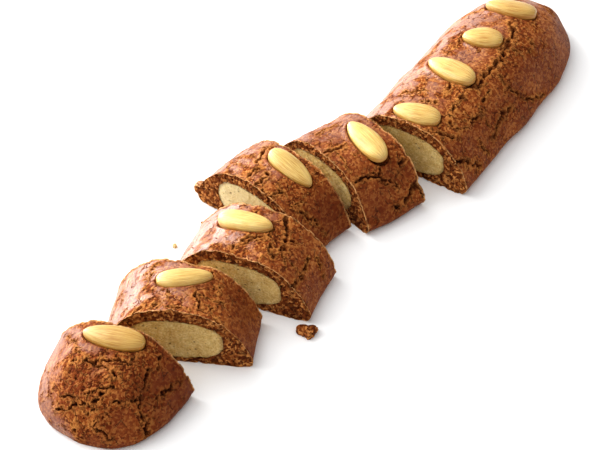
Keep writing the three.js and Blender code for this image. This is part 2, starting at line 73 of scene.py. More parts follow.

# Places on the crust are (distance along, girth from the crown line) in millimetres, and girth counts
# up to the right when looking along a piece from its near cut. A crack is how wide it gapes, as a share
# of a full one, and the places that it runs through. The bake setting says how dark a piece is drawn: its
# own bake, and on the end piece also painted shade. Crumbly and gloss say how much of its skin broke up
# and how well the glaze took, and slants are the angles of its two cuts
PIECES = (
    dict(
        name="uncut", x=52.4, y=-19.9, turn=0.0, length=124.4, half_width=29.9, height=26.7,
        slants=(-0.9, 0.0), seed=1, random_cracks=8, bake=0.15, crumbly=0.0, gloss=0.85,
        tip=dict(towards=1, round=48.6, width_power=2.07, height_power=2.25, lowering=0.0),
        almonds=(
            dict(at=(93.9, -1.6), heading=72, length=23.0, width=12.4, flip=False),
            dict(at=(66.7, -1.1), heading=68, length=17.8, width=12.0, flip=False),
            dict(at=(40.3, -1.9), heading=99, length=24.1, width=12.0, flip=False),
            dict(at=(7.6, 0.1), heading=78, length=20.8, width=11.4, flip=False),
        ),
        cracks=(
            (1.5, ((84, 3), (80, 7), (75, 9), (68, 10), (59, 12), (55, 12), (46, 11), (38, 13), (34, 7))),
            (0.9, ((65, 9), (68, 12), (70, 15))),
            (0.9, ((52, 16), (51, 24), (56, 31), (64, 36), (71, 39))),
            (1.2, ((30, 10), (23, 10), (19, 11), (15, 12), (12, 15))),
            (1.4, ((2, 9), (4, 14), (8, 19))),
            (0.9, ((42, 17), (35, 18))),
            (1.5, ((47, 30), (37, 29), (32, 32), (28, 33))),
            (1.0, ((29, 22), (22, 21), (20, 18))),
            (1.0, ((18, -14), (21, -8), (23, -5))),
            (0.9, ((16, -2), (19, 3))),
            (1.4, ((0, 28), (3, 28), (8, 33), (13, 37))),
            (0.8, ((19, 29), (22, 37))),
            (0.8, ((13, 18), (10, 22))),
            (1.2, ((33, 2), (26, 3))),
            (0.9, ((81, 16), (78, 19), (75, 19))),
        ),
    ),
    dict(
        name="slice_1", x=17.7, y=0.7, turn=-19.5, length=30.5, half_width=30.1, height=25.4,
        slants=(2.8, 3.1), seed=2, random_cracks=3, bake=0.35, crumbly=-0.1, gloss=0.5,
        almonds=(dict(at=(19.8, 4.5), heading=99, length=26.0, width=10.8, flip=False),),
        cracks=(
            (1.1, ((8, -13), (12, -14), (18, -13))),
            (1.4, ((2, 0), (6, 0), (9, 1), (11, 1))),
            (1.2, ((2, 19), (7, 19), (13, 22), (19, 29))),
            (0.7, ((14, 21), (17, 16))),
            (1.1, ((22, 24), (25, 21), (27, 20))),
            (1.4, ((26, 32), (23, 36), (15, 37))),
            (0.8, ((29, 33), (29, 39))),
            (0.5, ((10, 8), (12, 8), (15, 14))),
        ),
        notch=dict(at=(28.5, 32.5), size=(4.0, 3.2, 2.4)),
    ),
    dict(
        name="slice_2", x=-14.5, y=14.5, turn=-8.4, length=27.8, half_width=30.7, height=26.1,
        slants=(-0.7, -0.4), seed=3, random_cracks=4, bake=0.25, crumbly=0.0, gloss=0.6,
        almonds=(dict(at=(19.1, 5), heading=94, length=23.8, width=10.2, flip=True),),
        cracks=(
            (1.4, ((22, -11), (17, -9), (13, -8))),
            (1.2, ((10, -4), (7, -5), (2, -4))),
            (1.1, ((10, 0), (6, 2), (1, 2))),
            (0.8, ((1, 5), (1, 10), (7, 11), (7, 8))),
            (0.7, ((5, 18), (10, 19))),
            (1.1, ((7, 21), (9, 25), (9, 27))),
            (0.8, ((11, 29), (12, 32))),
            (0.8, ((12, 35), (13, 37))),
        ),
        nub=dict(at=(2.4, -39.5), size=(3.2, 2.8, 3.4)),
        # This slice's paste is drawn paler: painted light
        blond_paste=0.45,
    ),
    dict(
        name="slice_3", x=-52.4, y=-4.3, turn=10.9, length=30.3, half_width=30.4, height=26.4,
        slants=(0.6, -1.9), seed=4, random_cracks=3, bake=0.15, crumbly=0.0, gloss=1.0,
        almonds=(dict(at=(19.4, -4.6), heading=89, length=23.5, width=10.6, flip=True),),
        cracks=(
            (1.3, ((29, 9), (26, 10), (23, 12), (17, 14), (14, 15))),
            (1.0, ((5, -4), (12, 0), (14, 5), (16, 7), (20, 6))),
            (0.7, ((1, -3), (5, -4))),
            (0.9, ((13, 9), (8, 10), (7, 12), (12, 14))),
            (0.7, ((3, 8), (5, 8))),
            (0.8, ((19, 15), (20, 18))),
            (0.5, ((9, 17), (9, 25))),
            (0.9, ((18, 25), (13, 26), (5, 26), (0, 25))),
            (0.7, ((22, 28), (21, 33), (20, 36))),
        ),
    ),
    dict(
        name="slice_4", x=-91.3, y=-1.3, turn=24.1, length=29.0, half_width=30.4, height=26.5,
        slants=(0.5, -6.8), seed=5, random_cracks=4, bake=0.2, crumbly=0.0, gloss=0.75,
        almonds=(dict(at=(19.8, 0.2), heading=69, length=22.2, width=9.6, flip=True),),
        cracks=(
            (1.6, ((0.5, -18), (2.5, -14))),
            (1.3, ((3, -9), (4, -8))),
            (0.7, ((26, -13), (21, -16), (18, -15))),
            (0.7, ((21, -13), (14, -14), (13, -15))),
            (0.6, ((12, -5), (7, -4))),
            (0.6, ((3, -4), (3, 2), (3, 5))),
            (0.9, ((13, 6), (9, 7), (5, 9))),
            (0.9, ((6, 13), (7, 14))),
            (1.4, ((2, 16), (1, 17))),
            (1.1, ((21, 15), (17, 14))),
            (0.7, ((26, 10), (24, 11))),
        ),
    ),
    dict(
        name="end", x=-107.8, y=11.5, turn=9.5, length=38.95, half_width=29.8, height=27.4,
        slants=(-0.3, 0.0), seed=6, random_cracks=4, bake=0.45, crumbly=0.5, gloss=0.3,
        tip=dict(towards=-1, round=38.0, width_power=2.29, height_power=2.42, lowering=1.4),
        almonds=(dict(at=(6.6, -0.1), heading=98, length=24.7, width=10.4, flip=False),),
        cracks=(
            (0.9, ((21, -13), (19, -6), (20, -2), (17, 0), (17, 4), (14, 10))),
            (0.7, ((12, 11), (9, 12))),
            (0.8, ((32, -16), (32, -5))),
            (0.8, ((32, 3), (30, 9))),
            (1.1, ((35, -24), (35, -10), (33, 1), (31, 7))),
            (1.0, ((37, -4), (38.5, -9))),
            (1.3, ((36, 12), (37, 20), (37, 36))),
            (0.8, ((35, 0), (34, 9), (33, 6))),
            (1.0, ((12, 19), (22, 23), (26, 28), (27, 34))),
            (0.8, ((4, 32), (12, 30), (18, 30))),
            (0.8, ((15, 20), (8, 21), (4, 19))),
            (1.6, ((21, 7), (21, 9))),
            (1.4, ((29, 7), (28, 9))),
            (0.8, ((30, 14), (27, 20), (24, 23))),
            (1.8, ((26, 36), (28, 41))),
            (0.7, ((6, -23), (12, -15), (17, -11))),
        ),
    ),
)


def fraction(i, j, k):
    """A repeatable fraction from whole numbers"""
    wave = np.sin(i * 127.1 + j * 311.7 + k * 74.7) * 43758.5453
    return wave - np.floor(wave)


def noise(points):
    """Smooth noise between -1 and 1, in cells one unit wide"""
    cell = np.floor(points)
    part = points - cell
    part = part * part * (3 - 2 * part)
    total = 0.0
    for corner in range(8):
        step = np.array([corner & 1, (corner >> 1) & 1, (corner >> 2) & 1])
        weight = np.prod(np.where(step == 1, part, 1 - part), axis=-1)
        i, j, k = np.moveaxis(cell + step, -1, 0)
        total = total + weight * fraction(i, j, k)
    return total * 2 - 1


def cells(points, seed):
    """Distance to the nearest border between scattered cells, to the nearest centre, and a draw per cell"""
    base = np.floor(points)
    near = np.full(points.shape[:-1], 9.0)
    next_near = near.copy()
    centre = np.zeros_like(points)
    next_centre = np.zeros_like(points)
    draw = np.zeros_like(near)
    for step in np.ndindex(3, 3, 3):
        cell = base + np.array(step) - 1
        i, j, k = np.moveaxis(cell, -1, 0)
        jitter = np.stack([fraction(i + seed, j, k), fraction(j, k + seed, i), fraction(k, i, j + seed)], -1)
        here = cell + jitter
        away = np.linalg.norm(points - here, axis=-1)
        first = away < near
        second = ~first & (away < next_near)
        next_centre = np.where(first[..., None], centre, np.where(second[..., None], here, next_centre))
        next_near = np.where(first, near, np.where(second, away, next_near))
        centre = np.where(first[..., None], here, centre)
        draw = np.where(first, fraction(i, k, j + seed), draw)
        near = np.where(first, away, near)
    apart = next_centre - centre
    across = np.sum((points - (centre + next_centre) / 2) * apart, axis=-1)
    border = np.abs(across) / np.maximum(np.linalg.norm(apart, axis=-1), 1e-6)
    return border, near, draw


def smooth_step(low, high, value):
    t = np.clip((value - low) / (high - low), 0, 1)
    return t * t * (3 - 2 * t)


def dome_share(width_share):
    """Height of the dome as a share of its full rise, from the share of the half width"""
    return np.maximum(1 - np.abs(width_share) ** DOME_FLATNESS, 0) ** DOME_FALL


table_share = np.sin(np.linspace(0, math.pi / 2, 401))
table_run = np.diff(table_share) * HALF_WIDTH
table_fall = np.diff(dome_share(table_share)) * (HEIGHT - FOOT_HEIGHT)
table_girth = np.concatenate([[0], np.cumsum(np.hypot(table_run, table_fall))])
DOME_GIRTH = table_girth[-1]
FOOT_GIRTH = math.pi / 2 * (FOOT_REACH + FOOT_HEIGHT) / 2
HALF_GIRTH = DOME_GIRTH + FOOT_GIRTH


def outline(girth, half_width, height):
    """The smooth outline of a section at a girth: across to the right, and up"""
    side = np.where(girth < 0, -1.0, 1.0)
    far = np.abs(girth)
    share = np.interp(far, table_girth, table_share)
    turn = np.clip((HALF_GIRTH - far) / FOOT_GIRTH, 0, 1) * math.pi / 2
    in_foot = far > DOME_GIRTH
    across = np.where(in_foot, half_width - FOOT_REACH + FOOT_REACH * np.sin(turn), half_width * share)
    rise = FOOT_HEIGHT + (height - FOOT_HEIGHT) * dome_share(share)
    up = np.where(in_foot, FOOT_HEIGHT * (1 - np.cos(turn)), rise)
    return side * across, up


def section_size(piece, along):
    """Half width, height and rounding of a piece's section at a distance along it"""
    along = np.asarray(along, float)
    if "tip" not in piece:
        flat = np.ones_like(along)
        return piece["half_width"] * flat, piece["height"] * flat, 0 * flat
    tip = piece["tip"]
    t = np.clip((along - (piece["length"] - tip["round"])) / tip["round"], 0, 0.9999)
    narrow = (1 - t ** tip["width_power"]) ** (1 / tip["width_power"])
    low = (1 - t ** tip["height_power"]) ** (1 / tip["height_power"])
    height = piece["height"] - tip["lowering"] * along / piece["length"]
    half_width = np.maximum(piece["half_width"] * narrow, FOOT_REACH + 0.1)
    return half_width, np.maximum(height * low, FOOT_HEIGHT + 0.1), t


def direction_of(piece):
    return piece["tip"]["towards"] if "tip" in piece else 1


def place(piece, along, across, up):
    """A point in the piece's own frame: x along it, y to the left, z up"""
    near, far = np.tan(np.radians(piece["slants"]))
    straight = max(piece["length"] - piece["tip"]["round"], 1) if "tip" in piece else piece["length"]
    share = np.minimum(along / straight, 1)
    shift = (near * (1 - share) + far * share) * across
    x, y, z = np.broadcast_arrays(direction_of(piece) * along + shift, -across, up)
    return np.stack([x, y, z], axis=-1)


def crust_point(piece, along, girth):
    """A point of the baked surface with its broad lumps"""
    half_width, height, rounding = section_size(piece, along)
    across, up = outline(girth, half_width, height)
    before = outline(np.maximum(girth - 0.3, -HALF_GIRTH), half_width, height)
    after = outline(np.minimum(girth + 0.3, HALF_GIRTH), half_width, height)
    run = after[0] - before[0]
    rise = after[1] - before[1]
    length = np.hypot(run, rise)
    in_foot = np.abs(girth) > DOME_GIRTH
    fade = np.clip((up - FOOT_HEIGHT) / LUMP_FADE, 0, 1)
    normal_across = np.where(in_foot, np.sign(girth), -rise / length)
    normal_up = np.where(in_foot, 0, run / length)
    smooth = place(piece, along, across, up)
    smooth[..., 0] += piece["seed"] * 37.7
    lump = sum(rise_by * noise(smooth / size) for size, rise_by in LUMPS)
    lift = lump * np.minimum(half_width / 8, 1)
    onward = along + lump * rounding**2
    return place(piece, onward, across + normal_across * lift, up + normal_up * lift * fade)


def crust_normal(piece, along, girth):
    reach = 1.5
    back = crust_point(piece, np.maximum(along - reach, 0), girth)
    onward = crust_point(piece, np.minimum(along + reach, piece["length"]), girth)
    left = crust_point(piece, along, girth - reach)
    right = crust_point(piece, along, girth + reach)
    normal = np.cross(right - left, onward - back) * direction_of(piece)
    return normal / np.linalg.norm(normal, axis=-1, keepdims=True)


def crack_path(waypoints, seed):
    """Places along a crack, wandering a little to either side between its waypoints"""
    path = []
    for leg, (start, end) in enumerate(zip(waypoints, waypoints[1:])):
        run = np.subtract(end, start)
        length = np.hypot(*run)
        steps = max(int(length / CRACK_STEP + 0.5), 1)
        for i in range(steps):
            sway = CRACK_WANDER * (fraction(seed, leg, i) - 0.5) if i else 0.0
            path.append(np.array(start) + run * i / steps + np.array([-run[1], run[0]]) * sway / length)
    path.append(np.array(waypoints[-1], float))
    return np.array(path)


def random_cracks(piece):
    """Short cracks at places drawn by rule from the piece's seed"""
    found = []
    for i in range(piece["random_cracks"]):
        draws = [fraction(piece["seed"], i + 1, k) for k in range(1, 5)]
        along = piece["length"] * (0.12 + 0.68 * (i + draws[0]) / piece["random_cracks"])
        girth = 30 * (2 * draws[1] - 1)
        half = 3.5 + 3 * draws[3]
        step = half * np.array([math.cos(math.pi * draws[2]), math.sin(math.pi * draws[2])])
        found.append((0.6, ((along - step[0], girth - step[1]), (along + step[0], girth + step[1]))))
    return tuple(found)


def distance_to_path(points, path):
    nearest = np.full(points.shape[:-1], 99.0)
    for start, end in zip(path, path[1:]):
        run = end - start
        share = np.clip(((points - start) @ run) / (run @ run), 0, 1)
        away = np.linalg.norm(points - start - share[..., None] * run, axis=-1)
        nearest = np.minimum(nearest, away)
    return nearest


def almond_axes(piece, almond):
    """Centre on the crust, long axis towards the round end, cross axis and upward normal of an almond"""
    along, girth = map(float, almond["at"])
    normal = crust_normal(piece, along, girth)
    right = crust_point(piece, along, girth + 1) - crust_point(piece, along, girth - 1)
    right /= np.linalg.norm(right)
    onward = np.cross(normal, right)
    angle = math.radians(almond["heading"])
    long = onward * direction_of(piece) * math.cos(angle) + right * math.sin(angle)
    if almond["flip"]:
        long = -long
    return crust_point(piece, along, girth), long, np.cross(normal, long), normal


ALMOND_THICKNESS = 6.8
ALMOND_SINK = 0.3
ALMOND_TIP_POWER = 0.58
ALMOND_ROUND_POWER = 0.42


def almond_girth(t):
    """An almond's width as a share of its widest, from its pointed end at 0 to its round end at 1"""
    t = np.clip(t, 0, 1)
    widest = ALMOND_TIP_POWER / (ALMOND_TIP_POWER + ALMOND_ROUND_POWER)
    most = widest**ALMOND_TIP_POWER * (1 - widest) ** ALMOND_ROUND_POWER
    return t**ALMOND_TIP_POWER * (1 - t) ** ALMOND_ROUND_POWER / most


def noise_steps(points, size, shift):
    """Three unlike noises as a small step in each direction"""
    return np.stack([noise(points / size + shift + 17.3 * axis) for axis in range(3)], axis=-1)


# How the skin breaks up as it bakes: its cracks, the crumbled dough beside them, pits, grain and edges
CRACK_JAG = 0.9
CRACK_JAG_SIZE = 2.1
FINE_JAG = 0.55
FINE_JAG_SIZE = 0.9
CRACK_DEPTH = 0.9
CRACK_HALF_WIDTH = 0.52
CRACK_UNEVENNESS = 0.55
CRACK_UNEVEN_SIZE = 1.8
CRUMBLED_BESIDE_CRACK = 2.6
CRUMBLED_BESIDE_CUT = 1.2
PATCH_SIZE = 8.5
SMALL_PATCH_SIZE = 3.1
PIT_SPACING = 1.7
PIT_SIZE = 0.4
PIT_DEPTH = 0.8
GRAIN_SPACING = 1.3
RIPPLE_SIZE = 2.7
LIP_WIDTH = 0.45
LIP_RISE = 0.22
CURL_WIDTH = 0.5
CURL_RISE = 0.2
SKIN_SINK = 0.1


def skin_relief(piece, flat, from_cut, girth):
    """How far the crackled skin stands out, the painted shade in its cracks and pits, the painted highlight
    on the lips beside them, how broken up and glossy it is, and how baked, with painted shade on the right
    flank
    """
    spot = flat + piece["seed"] * 23.1
    jag = CRACK_JAG * noise_steps(spot, CRACK_JAG_SIZE, 3) + FINE_JAG * noise_steps(spot, FINE_JAG_SIZE, 7)
    far = np.full(flat.shape[:-1], 99.0)
    depth = np.ones_like(far)
    for i, (gape, waypoints) in enumerate(tuple(piece["cracks"]) + random_cracks(piece)):
        path = crack_path(waypoints, piece["seed"] * 100 + i)
        reach = np.clip(path[:, 0], 0.1, piece["length"] - 0.1)
        line = crust_point(piece, reach, path[:, 1])
        away = distance_to_path(flat + jag, line) / gape
        depth = np.where(away < far, CRACK_DEPTH * (1 + gape), depth)
        far = np.minimum(far, away)
    unevenness = CRACK_UNEVENNESS * noise(spot / CRACK_UNEVEN_SIZE + 5)
    opening = np.clip(CRACK_HALF_WIDTH + unevenness, 0.25, 1.0)
    fissure = np.clip(1 - far / opening, 0, 1) ** 0.55
    beside = np.exp(-((far / CRUMBLED_BESIDE_CRACK) ** 2))
    calm = 0.75 * smooth_step(-10, -19, girth) + 0.9 * smooth_step(18, 26, girth)
    patchy = noise(spot / PATCH_SIZE) + 0.6 * noise(spot / SMALL_PATCH_SIZE) + piece["crumbly"]
    broken = np.clip(0.8 * beside + smooth_step(-0.1, 0.6, patchy - 0.7 * calm), 0, 1)
    broken = np.maximum(broken, 0.9 * np.exp(-((from_cut / CRUMBLED_BESIDE_CUT) ** 2)))
    _, pit_near, pit_draw = cells(spot / PIT_SPACING, 11)
    pit_size = PIT_SIZE * smooth_step(0.97 - 0.5 * broken, 1.1, pit_draw)
    pits = np.clip(1 - pit_near / np.maximum(pit_size, 0.01), 0, 1) ** 0.5
    _, grain_near, _ = cells(spot / GRAIN_SPACING, 12)
    dome = 0.55 - grain_near
    lip = np.exp(-(((far - opening - LIP_WIDTH) / LIP_WIDTH) ** 2)) * (fissure == 0)
    relief = (0.04 + 0.34 * broken) * dome + (0.05 + 0.16 * broken) * noise(spot / RIPPLE_SIZE)
    curl = np.exp(-((from_cut / CURL_WIDTH) ** 2))
    relief = relief + LIP_RISE * lip + CURL_RISE * curl - depth * fissure - PIT_DEPTH * pits - SKIN_SINK
    # Painted shade: crack and pit hollows are drawn darker than the dough
    dark = np.clip(np.maximum(1.3 * fissure, 0.8 * pits), 0, 1)
    worn = smooth_step(0.25, 0.6, noise(spot / 4.2) + 0.5 * noise(spot / 1.4))
    glaze = piece["gloss"] * (1 - broken) * smooth_step(12, -4, girth) * (1 - 0.8 * worn)
    glaze = np.maximum(glaze, 0.6 * smooth_step(-17, -30, girth) * (1 - 0.5 * broken))
    # Bake darkens the skin by piece and at random, and more towards the right flank: that rise is painted
    # shade
    bake = np.clip(piece["bake"] + 0.35 * noise(spot / 11) + 0.4 * smooth_step(10, 26, girth), 0, 1)
    # Pale is a painted highlight on the raised lips beside the cracks
    return relief, dict(dark=dark, pale=np.clip(lip, 0, 1), broken=broken, glaze=glaze, bake=bake)


def almond_beds(piece, flat):
    """The dent that each almond bakes into the dough, with the dough swelling a little round its edge"""
    dent = np.zeros(flat.shape[:-1])
    for almond in piece["almonds"]:
        centre, long, cross, normal = almond_axes(piece, almond)
        offset = flat - centre
        t = (offset @ long) / (almond["length"] + 0.6) + 0.5
        across = np.abs(offset @ cross)
        half = almond_girth(t) * almond["width"] / 2 + 0.2
        beyond = np.maximum(np.maximum(-t, t - 1), 0) * almond["length"]
        outside = np.hypot(np.maximum(across - half, 0), beyond)
        near_top = (offset @ normal) > -9
        inside = (across < half) & (beyond == 0) & near_top
        share = np.clip(1 - (across / np.maximum(half, 0.1)) ** 2, 0, 1)
        floor = ALMOND_SINK + 0.35 + 0.5 * ALMOND_THICKNESS * np.sqrt(share) * almond_girth(t)
        swell = 0.45 * np.exp(-((outside - 0.9) / 1.3) ** 2) * near_top
        groove = -0.12 * np.exp(-((outside / 0.35) ** 2)) * near_top
        dent = np.where(inside, -floor, np.where(dent < -0.4, dent, np.maximum(dent, swell) + groove))
    return dent


# How the knife leaves the dough: the spacing of its crumbs and holes, and how wide the band of crust is
CUT_CRUMB_SPACING = 1.35
CUT_HOLE_SPACING = 2.6
CUT_HOLE_DEPTH = 1.2
CRUST_BAND = 11.0


def crumb_relief(points):
    """How far the cut dough is broken back from the knife's plane, and the painted shade in its hollows and
    holes
    """
    spot = points + 0.5 * noise_steps(points, 1.1, 5)
    _, near, draw = cells(spot / CUT_CRUMB_SPACING, 21)
    _, hole_near, hole_draw = cells(spot / CUT_HOLE_SPACING, 22)
    holes = np.clip(1 - hole_near / (0.02 + 0.36 * hole_draw), 0, 1) ** 0.5
    back = 0.05 + 0.8 * near * (0.35 + draw) + 0.25 * noise(points / 2.1) + CUT_HOLE_DEPTH * holes
    return back, np.clip(0.6 * (near - 0.5) + 0.7 * holes, 0, 1)


def tunnel_outline(piece, angle, along, swell):
    """The edge of the paste at an angle round its middle: across and up"""
    reach = piece["length"] - FILLING_TIP_CRUST if "tip" in piece else piece["length"]
    along, angle = np.broadcast_arrays(along, angle)
    t = 0.0 * along
    if "tip" in piece:
        rounding = min(piece["tip"]["round"], reach - 1)
        t = np.clip((along - (reach - rounding)) / rounding, 0, 1)
    shrink = np.sqrt(np.maximum(1 - t**2, 1e-4)) * (1 - 0.1 * t)
    half = np.where(np.sin(angle) > 0, FILLING_RISE, FILLING_DROP)
    power = FILLING_SQUARENESS
    share = (np.abs(np.cos(angle)) / FILLING_HALF_WIDTH) ** power + (np.abs(np.sin(angle)) / half) ** power
    radius = share ** (-1 / power)
    spot = np.stack([along, radius * np.cos(angle), radius * np.sin(angle)], axis=-1)
    spot = spot + piece["seed"] * 5.3
    ragged = 0.35 * noise(spot / 3.5) + 0.2 * noise(spot / 1.3)
    radius = radius * shrink + swell + ragged * shrink
    return radius * np.cos(angle), FILLING_MIDDLE - FILLING_TIP_DROP * t**2 + radius * np.sin(angle)


def ring_places(length, rounding, step):
    straight = length - rounding
    places = np.linspace(0, straight, max(int(straight / step), 1) + 1)
    if not rounding:
        return places
    turns = np.linspace(0, TIP_TURN, max(int(rounding * 1.25 / step), 8) + 1)[1:]
    return np.concatenate([places, straight + rounding * np.sin(turns)])


def grid_faces(rows, count, closed):
    """Quads between rows of points, each row a closed ring, and the last row joined to the first if closed"""
    row = np.arange(rows if closed else rows - 1)[:, None]
    j = np.arange(count)[None, :]
    near = row * count
    far = (row + 1) % rows * count
    following = (j + 1) % count
    return np.stack([near + j, near + following, far + following, far + j], axis=-1).reshape(-1, 4).tolist()


def cap_faces(rows, count):
    """Triangles that close the first and the last ring of a grid to the two points after it"""
    near = rows * count
    last = near - count
    faces = []
    for j in range(count):
        following = (j + 1) % count
        faces.append([following, j, near])
        faces.append([last + j, last + following, near + 1])
    return faces


def add_mesh(name, piece, points, faces, values, material):
    """A mesh in the row's frame from points in a piece's own frame, with a named value for each point"""
    turn = math.radians(piece["turn"])
    x = points[:, 0] * math.cos(turn) - points[:, 1] * math.sin(turn) + piece["x"] - ORIGIN[0]
    y = points[:, 0] * math.sin(turn) + points[:, 1] * math.cos(turn) + piece["y"] - ORIGIN[1]
    mesh = bpy.data.meshes.new(name)
    mesh.from_pydata((np.stack([x, y, points[:, 2]], axis=-1) * MM).tolist(), [], faces)
    if direction_of(piece) < 0:
        mesh.flip_normals()
    for label, column in values.items():
        mesh.attributes.new(label, "FLOAT", "POINT").data.foreach_set("value", column.astype(np.float32))
    mesh.shade_smooth()
    mesh.materials.append(material)
    thing = bpy.data.objects.new(name, mesh)
    bpy.context.scene.collection.objects.link(thing)
    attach(thing, "root")
    return thing


def skin_edge(points, seed):
    """How far the skin is chipped back along the edge of a cut"""
    spot = points + seed
    chips = 0.8 * smooth_step(0.25, 0.6, noise(spot / 2.6))
    return np.clip(0.12 + 0.3 * noise(spot / 1.0) + chips, 0, 1.2)


def cut_face(piece, edge, inward, cut_at):
    """The broken dough of a cut, as rings from just inside the skin to the tunnel"""
    angle = np.arctan2(edge[:, 2] - FILLING_MIDDLE, -edge[:, 1])
    inner = tunnel_outline(piece, angle, cut_at, FIT_GAP)
    count = int(CRUST_BAND / CUT_STEP)
    w = ((np.arange(1, count + 1) / (count + 1)) ** 1.15)[:, None]
    across = -edge[:, 1] * (1 - w) + inner[0] * w
    up = edge[:, 2] * (1 - w) + inner[1] * w
    spot = np.stack([0 * up + cut_at * 3, across, up], axis=-1) + piece["seed"] * 13.7
    back, dark = crumb_relief(spot)
    skin_back = (edge[:, 0] - place(piece, cut_at, -edge[:, 1], edge[:, 2])[:, 0]) * inward
    start = np.exp(-w / 0.07)
    back = back * (1 - 0.6 * start) + skin_back * start
    points = place(piece, cut_at, across, up)
    points[..., 0] += inward * back
    full = np.ones_like(back)
    values = dict(dark=dark, pale=0 * full, broken=full, glaze=0 * full, bake=0 * full, crumb=full)
    # A painted highlight along the cut edge of the skin
    values["rim"] = np.exp(-w / 0.02) * smooth_step(-0.3, 0.3, noise(spot / 1.4))
    return points, values, inner


NOTCH_DEPTH = 3.2
UNDERSIDE_HOLLOW = 0.9


def build_crust(piece, material):
    """One crust: its skin and underside, the broken dough of its cuts and the tunnel for the paste"""
    direction = direction_of(piece)
    length = piece["length"]
    step = LONG_SKIN_STEP if length > 60 else SKIN_STEP
    places = ring_places(length, piece["tip"]["round"] if "tip" in piece else 0.0, step)
    girths = np.linspace(-HALF_GIRTH, HALF_GIRTH, int(2 * HALF_GIRTH / step) + 1)
    along, girth = np.meshgrid(places, girths, indexing="ij")
    flat = crust_point(piece, along, girth)
    ahead = crust_point(piece, np.minimum(along + 0.4, length), girth)
    behind = crust_point(piece, np.maximum(along - 0.4, 0), girth)
    normal = np.cross(np.gradient(flat, axis=1), ahead - behind) * direction
    normal /= np.maximum(np.linalg.norm(normal, axis=-1, keepdims=True), 1e-6)
    from_cut = along if "tip" in piece else np.minimum(along, length - along)
    relief, looks = skin_relief(piece, flat, from_cut, girth)
    beds = almond_beds(piece, flat)
    relief = np.where(beds < -0.5, beds, relief * (1 - 0.5 * smooth_step(0, 0.5, beds)) + beds)
    settle = smooth_step(0.0, 2.5, flat[..., 2])
    moved = flat + normal * (relief * (0.3 + 0.7 * settle))[..., None]
    if "nub" in piece:
        (at_along, at_girth), reach = piece["nub"]["at"], piece["nub"]["size"]
        far = ((along - at_along) / reach[0]) ** 2 + ((girth - at_girth) / reach[1]) ** 2
        moved = moved + normal * (reach[2] * np.sqrt(np.clip(1 - far, 0, 1)))[..., None]
        # The nub is drawn pale and free of dark: painted light
        looks["pale"] = np.where(far < 1.2, 1, looks["pale"])
        looks["dark"] = np.where(far < 1.2, 0, looks["dark"])
    if "notch" in piece:
        middle = crust_point(piece, *map(float, piece["notch"]["at"]))
        near = np.linalg.norm((moved - middle) / piece["notch"]["size"], axis=-1)
        bite = np.clip(1 - near, 0, 1) * NOTCH_DEPTH * (1 + 0.4 * noise(flat / 1.3))
        moved = moved - normal * bite[..., None]
        # The notch is darkened with painted shade
        looks["dark"] = np.maximum(looks["dark"], np.clip(bite / 2, 0, 0.8))
    moved[..., 2] = np.maximum(moved[..., 2], 0)

    base_count = int(2 * (HALF_WIDTH - FOOT_REACH) / BASE_STEP)
    share = (np.arange(1, base_count) / base_count)[None, :, None]
    base = moved[:, -1:, :] * (1 - share) + moved[:, :1, :] * share
    underside = np.maximum(noise((base + piece["seed"] * 9) / 2.6) + 0.5 * noise(base / 1.2), 0)
    base[..., 2] = UNDERSIDE_HOLLOW * underside * np.sin(np.pi * share[..., 0]) ** 0.3
    skin = np.concatenate([moved, base], axis=1)
    under = np.zeros(base.shape[:2])
    # The underside is drawn darker with painted shade, and baked deeper
    values = dict(
        dark=np.concatenate([looks["dark"], under + 0.3], axis=1),
        pale=np.concatenate([looks["pale"], under], axis=1),
        broken=np.concatenate([looks["broken"], under + 1], axis=1),
        glaze=np.concatenate([looks["glaze"], under], axis=1),
        bake=np.concatenate([looks["bake"], under + 0.3], axis=1),
        crumb=np.zeros(skin.shape[:2]),
        rim=np.zeros(skin.shape[:2]),
    )
    from_near = places[:, None]
    skin[..., 0] += direction * skin_edge(skin[0], 3.3) * np.clip(1 - from_near / 2.2, 0, 1)
    # A painted highlight along the near cut edge of the skin, broken up by noise
    edge_rim = 0.4 + 0.6 * smooth_step(-0.5, 0.1, noise(skin / 1.7))
    values["rim"] = edge_rim * np.clip(1.3 - from_near / 0.6, 0, 1)
    near_points, near_values, near_inner = cut_face(piece, skin[0], direction, 0.0)
    if "tip" in piece:
        reach = length - FILLING_TIP_CRUST
        inside = ring_places(reach, min(piece["tip"]["round"], reach - 1), 3.0)[::-1, None]
        angle = np.arctan2(near_inner[1] - FILLING_MIDDLE, near_inner[0])
        tunnel = place(piece, inside, *tunnel_outline(piece, angle, inside, FIT_GAP))
        blocks = [tunnel, near_points[::-1], skin]
        groups = [None, {k: v[::-1] for k, v in near_values.items()}, values]
    else:
        from_far = length - from_near
        skin[..., 0] -= skin_edge(skin[-1], 7.3) * np.clip(1 - from_far / 2.2, 0, 1)
        # The same painted highlight along the far cut edge
        values["rim"] = np.maximum(values["rim"], edge_rim * np.clip(1.3 - from_far / 0.6, 0, 1))
        far_points, far_values, far_inner = cut_face(piece, skin[-1], -1, length)
        share = np.linspace(0, 1, 4)[:, None]
        tunnel_across = far_inner[0] * (1 - share) + near_inner[0] * share
        tunnel_up = far_inner[1] * (1 - share) + near_inner[1] * share
        tunnel = place(piece, length * (1 - share), tunnel_across, tunnel_up)
        blocks = [skin, far_points, tunnel, near_points[::-1]]
        groups = [values, far_values, None, {k: v[::-1] for k, v in near_values.items()}]
    blank = np.zeros(tunnel.shape[:2])
